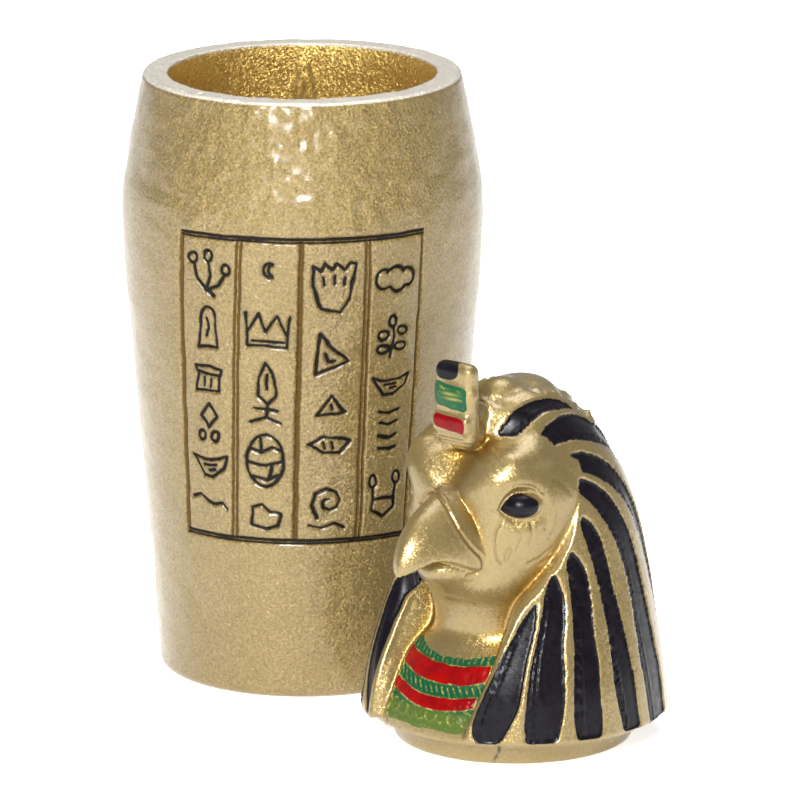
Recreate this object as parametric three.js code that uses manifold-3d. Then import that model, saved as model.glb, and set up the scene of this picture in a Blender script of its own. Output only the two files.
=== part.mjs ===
// A souvenir canopic jar in gold-painted cast resin: an open jar with an incised panel on its front, and its
// falcon-head lid standing on the table beside it. Millimetres, +Z up. The origin is the centre of the jar's
// underside, and the jar's front, where the panel is, faces -Y.
import * as THREE from "three";
import { mergeGeometries, mergeVertices } from "three/addons/utils/BufferGeometryUtils.js";
import Module from "manifold-3d";

const wasm = await Module();
wasm.setup();

const { sin, cos, sqrt, min, max, abs, hypot, atan2, PI, exp } = Math;
const DEG = PI / 180;
const mix = (a, b, t) => a + (b - a) * t;
const clamp01 = (t) => min(max(t, 0), 1);
const smooth = (t) => clamp01(t) ** 2 * (3 - 2 * clamp01(t));
const bump = (x) => exp(-x * x);

// ---- driving dimensions -------------------------------------------------------------------------------------
const JAR = {
  height: 95.8,
  baseRadius: 22.8,
  belly: { radius: 28.35, z: 73 },
  rimRadius: 24.9,
  mouthRadius: 21.1,
  wall: 4.1,
  floor: 5,
  footRound: 1.3,
  sides: 72,
};
const PANEL = {
  bottom: 26,
  top: 74.9,
  // the upright lines lean a little: azimuths of their top and foot, in degrees from the front
  lines: [
    [-40.5, -45.9],
    [-19.8, -25.1],
    [0.3, -2.5],
    [21.7, 20.7],
    [41.6, 39.8],
  ],
  lineWidth: 0.7,
  lineDepth: 0.45,
};
const LID = {
  place: [32.8, -39.8, 0],
  turn: -40 * DEG,
  plugRadius: 18.7,
  plugHeight: 5,
  hem: 4.5, // height of the headdress' lower edge above the table
  top: 56.5,
  hemRadius: 23.9,
};
const EYE = { azimuth: 41 * DEG, reach: 15.4, z: 40.6 };
const STRIPES = { perSide: 8, share: 0.62, depth: 0.4 };

// ---- meshes to solids and back ------------------------------------------------------------------------------
function solidOf(geometry) {
  const bare = new THREE.BufferGeometry();
  bare.setAttribute("position", geometry.getAttribute("position").clone());
  if (geometry.index) bare.setIndex(geometry.index.clone());
  const merged = mergeVertices(bare, 1e-4);
  return new wasm.Manifold(
    new wasm.Mesh({
      numProp: 3,
      vertProperties: Float32Array.from(merged.attributes.position.array),
      triVerts: Uint32Array.from(merged.index.array),
    }),
  );
}

function geometryOf(solid) {
  const mesh = solid.getMesh();
  const geometry = new THREE.BufferGeometry();
  geometry.setAttribute("position", new THREE.BufferAttribute(mesh.vertProperties, 3));
  geometry.setIndex(new THREE.BufferAttribute(mesh.triVerts, 1));
  geometry.computeVertexNormals();
  return geometry;
}

// The pieces of a casting overlap loosely inside it, so any pocket they leave sealed is filled.
function withoutPockets(solid) {
  const shells = solid.decompose();
  return shells.reduce((largest, shell) => (shell.volume() > largest.volume() ? shell : largest));
}

// A closed solid through rings of points, each ring with the same number of points, anticlockwise seen from the
// last ring's side. Both ends are closed by a fan from the ring's middle.
function loft(rings) {
  const n = rings[0].length;
  const points = rings.flat();
  const middle = (ring) => ring.reduce((sum, p) => sum.add(p), new THREE.Vector3()).divideScalar(n);
  const first = points.push(middle(rings[0])) - 1;
  const last = points.push(middle(rings.at(-1))) - 1;
  const faces = [];
  for (let i = 0; i < rings.length - 1; i++) {
    for (let j = 0; j < n; j++) {
      const [a, b] = [i * n + j, i * n + ((j + 1) % n)];
      faces.push(a, b, b + n, a, b + n, a + n);
    }
  }
  const lastRing = (rings.length - 1) * n;
  for (let j = 0; j < n; j++) {
    const k = (j + 1) % n;
    faces.push(first, k, j, last, lastRing + j, lastRing + k);
  }
  return new THREE.BufferGeometry().setFromPoints(points).setIndex(faces);
}

// ---- the jar ------------------------------------------------------------------------------------------------
const outerLine = new THREE.SplineCurve([
  new THREE.Vector2(JAR.baseRadius, JAR.footRound),
  new THREE.Vector2(mix(JAR.baseRadius, JAR.belly.radius, 0.3), 0.25 * JAR.height),
  new THREE.Vector2(mix(JAR.baseRadius, JAR.belly.radius, 0.7), 0.51 * JAR.height),
  new THREE.Vector2(JAR.belly.radius, JAR.belly.z),
  new THREE.Vector2(mix(JAR.rimRadius, JAR.belly.radius, 0.69), 0.87 * JAR.height),
  new THREE.Vector2(JAR.rimRadius, JAR.height),
]);

// Radius of the jar's outside at height z.
function jarRadius(z) {
  let [low, high] = [0, 1];
  for (let i = 0; i < 30; i++) {
    const t = (low + high) / 2;
    if (outerLine.getPoint(t).y < z) low = t;
    else high = t;
  }
  return outerLine.getPoint(low).x;
}

function jarShell() {
  const outside = outerLine.getPoints(12);
  const inside = [];
  for (let i = 0; i <= 7; i++) {
    const z = mix(JAR.height, JAR.floor, i / 7);
    const r = i === 0 ? JAR.mouthRadius : max(jarRadius(z) - JAR.wall, 0);
    inside.push(new THREE.Vector2(r, z));
  }
  const profile = [
    new THREE.Vector2(0, 0),
    new THREE.Vector2(JAR.baseRadius - JAR.footRound, 0),
    new THREE.Vector2(JAR.baseRadius - 0.3 * JAR.footRound, 0.3 * JAR.footRound),
    ...outside,
    ...inside,
    new THREE.Vector2(0, JAR.floor),
  ];
  return solidOf(new THREE.LatheGeometry(profile, JAR.sides).rotateX(PI / 2));
}

const jarPoint = (azimuth, z, out) =>
  new THREE.Vector3((jarRadius(z) + out) * sin(azimuth), -(jarRadius(z) + out) * cos(azimuth), z);

// Azimuth at height z of one of the panel's upright lines.
const lineAzimuth = ([top, foot], z) =>
  mix(foot, top, (z - PANEL.bottom) / (PANEL.top - PANEL.bottom)) * DEG;

// A bar along the jar's surface, cut away to leave a groove. path gives [azimuth, z] for t from 0 to 1.
function groove(path, steps) {
  const half = PANEL.lineWidth / 2;
  const rings = [];
  for (let i = 0; i <= steps; i++) {
    const [here, ahead] = [path(i / steps), path(i / steps + 0.01)];
    const r = jarRadius(here[1]);
    const along = new THREE.Vector2((ahead[0] - here[0]) * r, ahead[1] - here[1]).normalize();
    const across = (side, out) =>
      jarPoint(here[0] - (side * half * along.y) / r, here[1] + side * half * along.x, out);
    rings.push([
      across(-1, 0.8),
      across(-0.35, -PANEL.lineDepth),
      across(0.35, -PANEL.lineDepth),
      across(1, 0.8),
    ]);
  }
  return solidOf(loft(rings));
}

function jar() {
  let body = jarShell();
  for (const line of PANEL.lines) {
    const upright = (t) => {
      const z = mix(PANEL.bottom, PANEL.top, t);
      return [lineAzimuth(line, z), z];
    };
    body = body.subtract(groove(upright, 10));
  }
  for (const z of [PANEL.bottom, PANEL.top]) {
    const [from, to] = [lineAzimuth(PANEL.lines[0], z), lineAzimuth(PANEL.lines.at(-1), z)];
    body = body.subtract(groove((t) => [mix(from, to, t), z], 18));
  }
  return geometryOf(body);
}

// ---- the lid ------------------------------------------------------------------------------------------------
// Lid coordinates: side is to the falcon's left, fore is towards its beak, z is up from the table.
const at = (side, fore, z) => new THREE.Vector3(side, -fore, z);

// Rows of [z, radius, how far the middle is behind the lid's axis] up the headdress, a dome that leans back.
const DOME = [
  [LID.hem, LID.hemRadius, 0.2],
  [12, 22.8, 0.5],
  [20, 21.1, 1.4],
  [27.5, 19.1, 2.4],
  [35, 17.2, 2.8],
  [42, 14.9, 2.4],
  [47, 12.7, 1.6],
  [49, 11.8, 1],
  [51, 10.1, 0.1],
  [53.5, 8, -0.5],
  [55.2, 5.2, -0.9],
  [LID.top, 0, -1.2],
];

function insideDome(p) {
  const above = DOME.findIndex(([z]) => z > p.z);
  if (above < 0) return false;
  const [low, high] = [DOME[max(above - 1, 0)], DOME[max(above, 1)]];
  const t = (p.z - low[0]) / (high[0] - low[0]);
  return hypot(p.x, -p.y + mix(low[2], high[2], t)) < mix(low[1], high[1], t);
}

const heart = at(0, 0, 20);
// The point where the ray from the heart of the dome through p leaves the dome, moved out by some millimetres.
function onDome(p, out = 0) {
  const ray = p.clone().sub(heart).normalize();
  let [low, high] = [0, 60];
  for (let i = 0; i < 30; i++) {
    const t = (low + high) / 2;
    if (insideDome(heart.clone().addScaledVector(ray, t))) low = t;
    else high = t;
  }
  return heart.clone().addScaledVector(ray, low + out);
}

// The headdress' edge round the face, from the cheek (t = 0) up to the brow's middle (t = 1), on its left half.
const faceEdge = new THREE.CatmullRomCurve3([
  at(11.7, 12.9, 23.5),
  at(13.6, 10, 28.5),
  at(14.8, 6.7, 32.3),
  at(15.2, 4.3, 36.8),
  at(14.1, 2.7, 41.6),
  at(11.4, 3.2, 45.6),
  at(6.9, 7.8, 48.3),
  at(0, 11.8, 49.8),
]);
const HEM_FROM = 21 * DEG;
const hemPoint = (azimuth, out) =>
  at((LID.hemRadius + out) * sin(azimuth), (LID.hemRadius + out) * cos(azimuth) - DOME[0][2], LID.hem);

// A point of the headdress' left half. t counts across the stripes, from the lappet's front edge (0) to the
// middle of the back (1), and v runs along them, from the face (0) down to the hem (1). Stripes that start high
// first run back over the crown.
function clothPoint(t, v, out) {
  if (v === 1) return hemPoint(mix(HEM_FROM, PI, t), out);
  const start = faceEdge.getPoint(t);
  const end = hemPoint(mix(HEM_FROM, PI, t), 0);
  const high = clamp01((t - 0.38) / 0.56);
  const knee = start.clone().lerp(end, 0.5).add(at(1.2 * high * (1 - t), -11 * high ** 2, 33 * high ** 1.2));
  if (t === 1) knee.x = 0;
  const p = start
    .multiplyScalar((1 - v) ** 2)
    .addScaledVector(knee, 2 * v * (1 - v))
    .addScaledVector(end, v * v);
  return onDome(p, out);
}

// Columns across one half of the cloth: each stripe is sunk between two raised folds.
function clothColumns() {
  const columns = [[0, 0]];
  const edge = 0.06;
  for (let k = 0; k < STRIPES.perSide; k++) {
    const [from, to] = [k + 0.5 - STRIPES.share / 2, k + 0.5 + STRIPES.share / 2];
    columns.push([from - edge, 0], [from + edge, -STRIPES.depth]);
    columns.push([to - edge, -STRIPES.depth], [to + edge, 0]);
  }
  columns.push([STRIPES.perSide, 0]);
  return columns.map(([t, out]) => [t / STRIPES.perSide, out]);
}

function headdress() {
  const along = [0, 0.05, 0.1, 0.17, 0.25, 0.34, 0.43, 0.52, 0.61, 0.7, 0.8, 0.9, 1];
  const half = clothColumns();
  const columns = [...half.map((c) => [...c, 1]), ...half.slice(0, -1).reverse().map((c) => [...c, -1])];
  const points = [];
  for (const [t, out, side] of columns)
    for (const v of along) {
      // The cloth rolls in towards the face, and the stripes start behind that roll.
      const roll = -1.3 * (1 - smooth(v / 0.1));
      const p = clothPoint(t, v, v < 0.1 ? roll : out);
      points.push(new THREE.Vector3(side * p.x, p.y, p.z));
    }
  const faces = [];
  const n = along.length;
  for (let j = 0; j < columns.length - 1; j++)
    for (let i = 0; i < n - 1; i++) {
      const [a, b] = [j * n + i, (j + 1) * n + i];
      faces.push(a, a + 1, b + 1, a, b + 1, b);
    }
  // The front edge of each half, from the brow's middle round the face and down the lappet, and a line up the
  // inside of the dome that both are joined to.
  const edge = (sign) => {
    const column = (j) => (sign > 0 ? j : columns.length - 1 - j);
    const line = half.map((_, j) => column(j) * n).reverse();
    for (let i = 1; i < n; i++) line.push(column(0) * n + i);
    return line;
  };
  const [left, right] = [edge(1), edge(-1)];
  const core = left.map((index, k) => (k === 0 ? index : points.push(at(0, -3, points[index].z)) - 1));
  for (let k = 0; k < left.length - 1; k++) {
    if (k > 0) {
      faces.push(left[k], core[k], core[k + 1]);
      faces.push(right[k], core[k + 1], core[k]);
    }
    faces.push(left[k], core[k + 1], left[k + 1]);
    faces.push(right[k], right[k + 1], core[k + 1]);
  }
  const foot = core.at(-1);
  for (let j = 0; j < columns.length - 1; j++) faces.push(foot, (j + 2) * n - 1, (j + 1) * n - 1);
  return solidOf(new THREE.BufferGeometry().setFromPoints(points).setIndex(faces));
}

// An ellipse-like ring round the lid's axis: middle is how far ahead of the axis it is centred, side, ahead and
// behind are its reaches, and a power over 2 squares its corners.
function ring(z, middle, side, ahead, behind, power = 2, dent = 0) {
  const points = [];
  const count = 32;
  for (let j = 0; j < count; j++) {
    const angle = (2 * PI * j) / count;
    const [s, c] = [sin(angle), cos(angle)];
    const k = (abs(s) ** power + abs(c) ** power) ** (-1 / power);
    const hollow = c > 0 ? dent * bump(s / 0.3) : 0;
    points.push(at(side * s * k, middle + (c > 0 ? ahead : behind) * c * k - hollow, z));
  }
  return points;
}
const tower = (rows) => solidOf(loft(rows.map((row) => ring(...row))));

function plug() {
  const r = LID.plugRadius;
  const profile = [
    [0, 0],
    [r - 0.9, 0],
    [r - 0.2, 0.4],
    [r, 1.2],
    [r, LID.plugHeight],
    [0, LID.plugHeight],
  ].map((p) => new THREE.Vector2(...p));
  return solidOf(new THREE.LatheGeometry(profile, 56).rotateX(PI / 2));
}

// The chest, which carries the collar between the lappets, and the neck.
function chest() {
  return tower([
    [LID.hem, 0, 22.6, 21.8, 12],
    [6, 0, 21.8, 21.4, 12],
    [10, 0, 19.7, 19, 12, 2.1],
    [15.5, 0, 15.6, 15.3, 11, 2.1],
    [18, 1.5, 11.6, 12.2, 9],
    [21, 3.4, 9.8, 10, 8],
    [24, 3.4, 10.2, 10.8, 8],
  ]);
}

// The head: a throat that widens into the jaw, cheeks with squared corners, and a dent between the brows.
function head() {
  return tower([
    [20, 3.4, 9.4, 9.6, 8],
    [24, 3.4, 10.4, 11.4, 8],
    [27, 3, 11.6, 14, 9, 2.1],
    [30, 2.5, 12.9, 14.6, 10, 2.2],
    [34, 2, 14, 14.6, 11, 2.4],
    [38, 1.5, 14.5, 14.4, 11, 2.6, 0.4],
    [42, 1.8, 14.3, 14, 11, 2.8, 1.6],
    [45, 3.5, 13.5, 12.2, 10, 3, 2.8],
    [47, 5, 12.4, 10.2, 8, 2.8, 3],
    [48.6, 5.5, 10.8, 8, 8, 2.4, 2],
    [49.6, 6, 8, 5, 7],
  ]);
}

// The beak: rings that shrink along a curve from the face to the hooked tip.
function beak() {
  const ridge = new THREE.QuadraticBezierCurve3(at(0, 15.5, 42.2), at(0, 27, 40.2), at(0, 27.8, 31.6));
  const sole = new THREE.QuadraticBezierCurve3(at(0, 10, 28.8), at(0, 18, 31), at(0, 27.4, 31));
  const rings = [];
  const steps = 10;
  for (let i = 0; i <= steps; i++) {
    const t = i / steps;
    const [high, low] = [ridge.getPoint(t), sole.getPoint(t)];
    const wide = 9 * (1 - t) ** 0.75 + 0.5;
    const points = [];
    for (let j = 0; j < 18; j++) {
      const angle = (2 * PI * j) / 18;
      const share = (1 - cos(angle)) / 2; // 0 on the ridge, 1 on the sole
      const p = high.clone().lerp(low, share ** 0.9);
      p.x = -wide * sin(angle) * (0.62 + 0.38 * share);
      points.push(p);
    }
    rings.push(points);
  }
  return solidOf(loft(rings));
}

function lowerBill() {
  return tower([
    [25.5, 8, 5, 7, 4],
    [28, 8, 6.6, 12, 4],
    [30.2, 8, 7.2, 13.5, 4],
    [32, 8, 6.5, 10, 4],
  ]);
}

// An eyeball that just stands out of the cheek; side is 1 for the left eye and -1 for the right one.
function eye(side) {
  const ball = new THREE.SphereGeometry(1, 18, 10).scale(3.1, 2, 2.5);
  ball.rotateZ(side * EYE.azimuth);
  const { x, y } = at(EYE.reach * sin(EYE.azimuth), EYE.reach * cos(EYE.azimuth), 0);
  return solidOf(ball.translate(side * x, y, EYE.z));
}

// The rearing cobra on the brow, a slab with a rounded top.
function cobra() {
  const [front, back, low, high, halfWidth] = [14.6, 11.4, 45, 60.9, 3.7];
  const outline = new THREE.Shape();
  outline.moveTo(front - 1.2, low);
  outline.lineTo(front + 0.1, low + 3.5);
  outline.lineTo(front, high - 3);
  outline.quadraticCurveTo(front - 0.1, high - 0.2, mix(front, back, 0.55), high);
  outline.quadraticCurveTo(back, high - 0.2, back, high - 2.5);
  outline.lineTo(back - 1.5, low);
  const slab = new THREE.ExtrudeGeometry(outline, {
    depth: 2 * halfWidth - 1.6,
    bevelEnabled: true,
    bevelSize: 0.8,
    bevelThickness: 0.8,
    bevelOffset: -0.8,
    bevelSegments: 2,
    curveSegments: 4,
  });
  // The outline's x is fore and its y is up; the slab is centred on the falcon's middle plane.
  slab.translate(0, 0, 0.8 - halfWidth);
  const turn = new THREE.Matrix4().makeBasis(at(0, 1, 0), at(0, 0, 1), at(-1, 0, 0));
  return solidOf(slab.applyMatrix4(turn));
}

// The worn lump on the crown, behind the cobra.
function crown() {
  const lump = new THREE.SphereGeometry(1, 16, 12).scale(3.4, 4.2, 2.6);
  return solidOf(lump.translate(0, -1.5, 54.2));
}

function lid() {
  const pieces = [headdress(), chest(), head(), beak(), lowerBill(), eye(1), eye(-1), cobra(), crown()];
  return geometryOf(withoutPockets(pieces.reduce((sum, piece) => sum.add(piece), plug())));
}

// ---- the object ---------------------------------------------------------------------------------------------
const gold = new THREE.MeshStandardMaterial({ color: 0xbfa268, roughness: 0.42, metalness: 0.75 });

function part(name, geometry, place = [0, 0, 0], turn = 0) {
  const mesh = new THREE.Mesh(geometry, gold.clone());
  mesh.name = name;
  mesh.position.set(...place);
  mesh.rotation.z = turn;
  return mesh;
}

const canopicJar = new THREE.Group();
canopicJar.add(part("jar_body", jar()), part("falcon_head_lid", lid(), LID.place, LID.turn));

export default canopicJar;
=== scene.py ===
"""A souvenir canopic jar in gold-painted cast resin, with its falcon-head lid standing beside it.

The CAD nodes hold the main shapes. This scene replaces each with a finely modelled casting in the same place:
the jar with its incised panel, and the lid with its cloth folds, collar and painted bands. Shapes are worked
out in millimetres and degrees, and made in metres.
"""

import math

import bmesh
import bpy
import numpy as np
import openvdb
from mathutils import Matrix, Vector
from mathutils.bvhtree import BVHTree


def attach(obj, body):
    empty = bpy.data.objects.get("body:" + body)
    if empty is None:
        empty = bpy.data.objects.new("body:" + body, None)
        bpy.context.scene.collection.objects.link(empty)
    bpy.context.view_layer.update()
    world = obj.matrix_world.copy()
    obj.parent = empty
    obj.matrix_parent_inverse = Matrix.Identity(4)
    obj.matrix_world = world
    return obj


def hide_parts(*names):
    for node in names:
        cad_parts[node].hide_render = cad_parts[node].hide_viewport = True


MM = 0.001
DEG = math.pi / 180

# ---- sizes, in millimetres and degrees ----

JAR = {
    "height": 95.8,
    "mouth_radius": 21.1,
    "wall": 4.1,
    "floor": 5.0,
    "edge": 0.5,
    "lip": 0.3,
    "bend": 2.6,  # how round the corner is where the inside meets the floor
    # radius and height up the outside
    "outline": [(22.95, 1.3), (24.6, 23.95), (26.75, 48.86), (28.3, 73.0), (27.28, 83.35), (24.9, 95.8)],
}
PANEL = {
    "bottom": 26.0,
    "top": 74.9,
    # azimuth of the top and of the foot of each upright line
    "lines": [(-40.5, -45.9), (-19.8, -25.1), (0.3, -2.5), (21.7, 20.7), (41.6, 39.8)],
    "double": [False, True, False, True, False],
    "half_width": [0.42, 0.22, 0.42, 0.22, 0.24],
}
# the marks of each column from the top down: height of the middle, width, height and kind
MARKS = [
    [
        (69.0, 7.6, 7.4, "sprig"), (60.1, 4.4, 7.0, "arch"), (51.8, 5.2, 4.4, "gate"),
        (44.6, 5.4, 6.4, "diamond"), (37.4, 6.6, 4.4, "bowl"), (31.6, 6.6, 2.0, "wave"),
    ],
    [
        (70.1, 2.5, 2.6, "crescent"), (60.6, 6.9, 5.6, "peaks"), (50.3, 5.3, 10.0, "plume"),
        (39.2, 6.6, 8.7, "shield"), (30.1, 5.3, 4.4, "pebble"),
    ],
    [
        (67.4, 7.2, 8.0, "basket"), (56.7, 5.5, 6.7, "wedge"), (48.3, 4.7, 3.5, "tent"),
        (41.9, 6.6, 3.2, "lens"), (31.9, 6.4, 7.6, "scroll"),
    ],
    [
        (67.9, 7.0, 4.6, "cloud"), (58.7, 5.6, 6.8, "branch"), (50.8, 6.7, 3.6, "bowl"),
        (43.7, 4.0, 6.8, "bars"), (32.9, 5.6, 7.4, "yoke"),
    ],
]
STROKE = 0.27  # half the width of a stroke
INCISION = 0.36  # how deep a stroke is
GROOVE = 0.4  # how deep the panel's lines are
# a thin crease across the left of the shoulder: distance round the jar, and height
CREASE = [(-25, 80.8), (-21.5, 80.2), (-19.4, 79.5)]
# a flaw of the mould, a small tent of resin high on the inside of the back wall
FLAW = [(-1.2, 86.4), (-0.1, 91.6), (1.2, 86.8)]

LID_PLACE = (32.8, -39.8, 0.0)
LID_TURN = -40 * DEG
HEM = {"z": 4.5, "from": 21.5, "radius": 23.9}
# height, radius and how far the middle is behind the lid's axis, up the headdress
DOME = [
    (4.5, 23.9, 0.2), (12, 22.9, 0.5), (20, 21.1, 1.4), (27.5, 19.1, 2.4), (35, 17.2, 2.8), (42, 14.9, 2.4),
    (47, 12.6, 1.6), (49, 11.5, 1.0), (51, 9.9, 0.1), (53.5, 7.9, -0.5), (55.2, 5.2, -0.9),
    (56.5, 0.6, -1.2),
]
# height and azimuth of the headdress' front edge, on the falcon's left and on its right
OPENING = [
    (4.5, 18.5, 26.5), (10.6, 24.5, 29.4), (16, 30.5, 35.6), (20.4, 35, 41), (24.5, 41, 47.5),
    (28.5, 54, 57.5), (32.3, 65.6, 66), (36.8, 74, 74), (41.6, 79, 79), (45.6, 74, 74), (47.4, 54, 54),
    (48.5, 38, 38), (49.8, 0, 0),
]
# the same edge in space, from the cheek to the middle of the brow: side, fore and height
FACE_EDGE = [
    (11.7, 12.9, 23.5), (13.6, 10, 28.5), (14.8, 6.7, 32.3), (15.2, 4.3, 36.8),
    (14.1, 2.7, 41.6), (11.4, 3.2, 45.6), (6.9, 7.8, 48.3), (0, 11.8, 49.8),
]
# Painted stripes of the headdress from front to back. Across the cloth, t goes from 0 at the lappet's front
# edge to 1 at the middle of the back. Each stripe has how far from the face it starts, and its lowest and
# highest t at five places along its length.
STRIPE_STEPS = [0, 0.2, 0.45, 0.75, 1]
STRIPES = [
    (2.2, [0.055, 0.0, -0.02, -0.02, 0.02], [0.1, 0.127, 0.112, 0.105, 0.075]),
    (1.0, [0.18, 0.15, 0.126, 0.126, 0.137], [0.215, 0.262, 0.24, 0.234, 0.215]),
    (1.6, [0.297, 0.295, 0.277, 0.26, 0.262], [0.33, 0.405, 0.367, 0.345, 0.332]),
    (1.6, [0.47, 0.455, 0.43, 0.393, 0.4], [0.485, 0.528, 0.497, 0.47, 0.46]),
    (0.4, [0.56, 0.58, 0.575, 0.512, 0.5], [0.62, 0.65, 0.655, 0.61, 0.6]),
    (0.4, [0.645, 0.67, 0.703, 0.68, 0.66], [0.705, 0.735, 0.757, 0.76, 0.75]),
    (0.3, [0.755, 0.768, 0.815, 0.83, 0.82], [0.81, 0.842, 0.88, 0.905, 0.9]),
    (0.3, [0.858, 0.854, 0.9, 0.94, 0.94], [0.918, 0.886, 0.95, 0.985, 0.985]),
]
STRIPE_CORNER = 0.9
PAINT_SINK = 0.4
# height, and how far left of the lid's axis, seen from the front of the jar, the right lappet's paint ends
RIGHT_PAINT = [
    (4.5, 22.5), (8.5, 22.0), (12.5, 20.9), (16.5, 19.2), (20.1, 17.6), (22.3, 16.4), (24.3, 14), (27, 12),
]
# rows of height, middle, side, ahead, behind and power: squared-off rings up the neck and the head
CHEST = [
    (3.8, 0, 22.6, 21.7, 12, 2), (6, 0, 21.6, 21.3, 12, 2), (10, 0, 19.4, 19.2, 12, 2.1),
    (15.5, 0, 15.6, 15.5, 11, 2.1), (18, 1.5, 11.6, 12.2, 9, 2), (21, 3.4, 9.7, 9.9, 8, 2),
    (26, 3.4, 10.2, 10.8, 8, 2),
]
HEAD = [
    (20, 3.4, 9.4, 9.6, 8, 2), (24, 3.4, 10.4, 11.4, 8, 2), (27, 3, 11.6, 14, 9, 2.1),
    (30, 2.5, 12.9, 14.6, 10, 2.2), (34, 2, 14, 14.6, 11, 2.4), (38, 1.5, 14.5, 14.6, 11, 2.6),
    (42, 1.8, 14.2, 14.4, 11, 2.8), (45, 3.5, 12.6, 12.4, 10, 2.8), (47, 5, 10.4, 10.2, 8, 2.5),
    (48.6, 5.8, 7.6, 7.4, 8, 2.2), (49.8, 6, 5.6, 4.4, 7, 2),
]
# the middle line of the ridge over each eye, which ends on the beak
BROW = [(9.1, 7.4, 45.9), (8.2, 10.6, 45.3), (6.6, 12.2, 43.6), (4.6, 12.6, 41.6)]
BROW_RADIUS = 2.9
# height, depth and half-width of the valley between the brows
VALLEY = [
    (36, 0, 1.5), (40, 0.2, 2), (42, 1.4, 2.4), (44, 3, 3.4), (46, 4.2, 4.6), (48, 4.6, 5.6), (50, 4.6, 6),
]
BEAK = [
    (28, 11, 7.2, 16.2, 6, 1.6), (30.5, 11, 7.4, 16.9, 6, 1.6), (32.5, 11, 7.4, 16.8, 6, 1.6),
    (34.5, 11, 7.0, 16.0, 6, 1.65), (36.8, 11, 6.1, 14.4, 6, 1.7), (38.8, 11, 5.0, 12.1, 6, 1.75),
    (40.5, 11, 3.9, 9.2, 5, 1.8), (42, 11, 2.6, 5.8, 4, 2),
]
BILL = [(25.5, 8, 5, 7, 4, 2), (28, 8, 6.2, 11.6, 4, 2), (30.2, 8, 6.8, 13.2, 4, 2), (31.8, 8, 6, 12, 4, 2)]
# how far forward and how high the mouth's line is
MOUTH = [(8, 29.4), (15, 29.9), (18, 30.9), (21, 32.3), (24, 32.4), (26, 31.5), (28.4, 29.9)]
EYE = [
    (8.9, 14.3, 39.8), (9.5, 13.8, 41.2), (10.5, 13.1, 42.2), (11.8, 12, 42.3), (12.9, 10.1, 41.2),
    (12.9, 10.2, 39.6), (12.1, 11.4, 38.6), (10.9, 12.8, 38.4), (9.8, 13.7, 38.9), (8.9, 14.3, 39.8),
]
EYE_LID = [
    (8.0, 14.6, 39.6), (8.8, 14.2, 41.4), (9.9, 13.6, 42.8), (11.2, 12.7, 43.4), (12.6, 11, 43.0),
    (13.4, 9.6, 41.8),
]
# lines scratched round the beak and under the eye, and the two folds at the back of the cheek
CERE = [
    (-5.6, 15.4, 38.8), (-4.2, 16, 40.6), (-1.9, 17.1, 41.5), (0.5, 18.5, 41.4), (2.7, 19.1, 40),
    (4.4, 19.2, 37.8), (5.5, 18.6, 35.8), (6.1, 17.5, 34), (6.6, 16, 32.2), (6.6, 15.8, 30.7),
    (5.4, 16.4, 29.6), (4.6, 17, 29.6),
]
SCRATCHES = [
    [(9, 14, 38), (8.3, 14.6, 36.6), (8.1, 14.7, 34.8), (8.3, 14.5, 32.7), (8.9, 14, 31.2)],
    [(13.7, 6.9, 38.8), (13.6, 7.2, 36.8), (13.2, 8, 35)],
    [(12.9, 8.4, 38.2), (12.8, 8.8, 36.6)],
    [(11.9, 10.6, 37.6), (12, 10.6, 36), (11.8, 11, 34.4)],
    [(11.1, 11.9, 35.6), (10.9, 12.3, 34.4), (10.7, 12.6, 33.4)],
    [(9.9, 13.2, 34), (10.2, 13.1, 33.2), (9.8, 13.2, 32.2)],
    [(9.9, 13.2, 34), (9.4, 13.6, 33), (9.4, 13.6, 31.8)],
    [(13.3, 7.3, 33.4), (12.3, 8.9, 32), (11.2, 10.6, 31.2)],
    [(13, 6.6, 32), (12, 8.6, 30.8)],
    [(13.5, 7.2, 44.1), (13.9, 5.7, 43.1), (14.3, 4.2, 41.3)],
]
COLLAR_SIDE = 9.7  # half the collar's width
PLUG = {"radius": 18.4, "height": 5}
CRACK = [(10.9, 4.6), (10.5, 3.2), (10.4, 2.2), (9.6, 0.6)]  # distance round the plug, and height
VOXEL = 0.37
FAR = 9.0  # a distance well away from any mark or paint

# where the camera looks, in millimetres, and its distance in metres
CAMERA = {"target": (15.28, 0, 42.5), "distance": 1.188, "pitch": 14.4 * DEG, "lens": 337.5}
FLOOR_GLOW = 0.74
# the room's brightness, from To Min behind the camera to To Max behind the jar
ROOM = {"From Min": -0.75, "From Max": 0.7, "To Min": 0.12, "To Max": 0.36}
# place, target and size of each soft box in metres, and its power in watts
SOFT_BOXES = {
    "front_box": ((-0.15, -0.92, 0.55), (0, 0, 0.06), (0.26, 0.34), 15.5),
    "top_box": ((0.05, 0.15, 0.9), (0, 0, 0.05), (0.6, 0.6), 5),
}


# ---- small helpers ----

def smooth(t):
    """Ease from 0 to 1 as t goes from 0 to 1."""
    t = np.clip(t, 0, 1)
    return t * t * (3 - 2 * t)


def bell(x):
    """A bump of height 1 and half-width about 1."""
    return np.exp(-x * x)


def curve_at(x, rows, column):
    """A smooth curve through rows sorted by their first value, read at x."""
    knots = np.array([row[0] for row in rows], float)
    values = np.array([row[column] for row in rows], float)
    slopes = np.gradient(values, knots)
    i = np.clip(np.searchsorted(knots, x) - 1, 0, len(knots) - 2)
    gap = knots[i + 1] - knots[i]
    t = np.clip((x - knots[i]) / gap, 0, 1)
    return (
        values[i] * (1 + 2 * t) * (1 - t) ** 2
        + slopes[i] * gap * t * (1 - t) ** 2
        + values[i + 1] * t * t * (3 - 2 * t)
        - slopes[i + 1] * gap * t * t * (1 - t)
    )


def blend_min(a, b, k):
    """The nearer of two distances, with a fillet of about k millimetres where the shapes meet."""
    h = np.clip(0.5 + 0.5 * (b - a) / k, 0, 1)
    return b + (a - b) * h - k * h * (1 - h)


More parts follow.
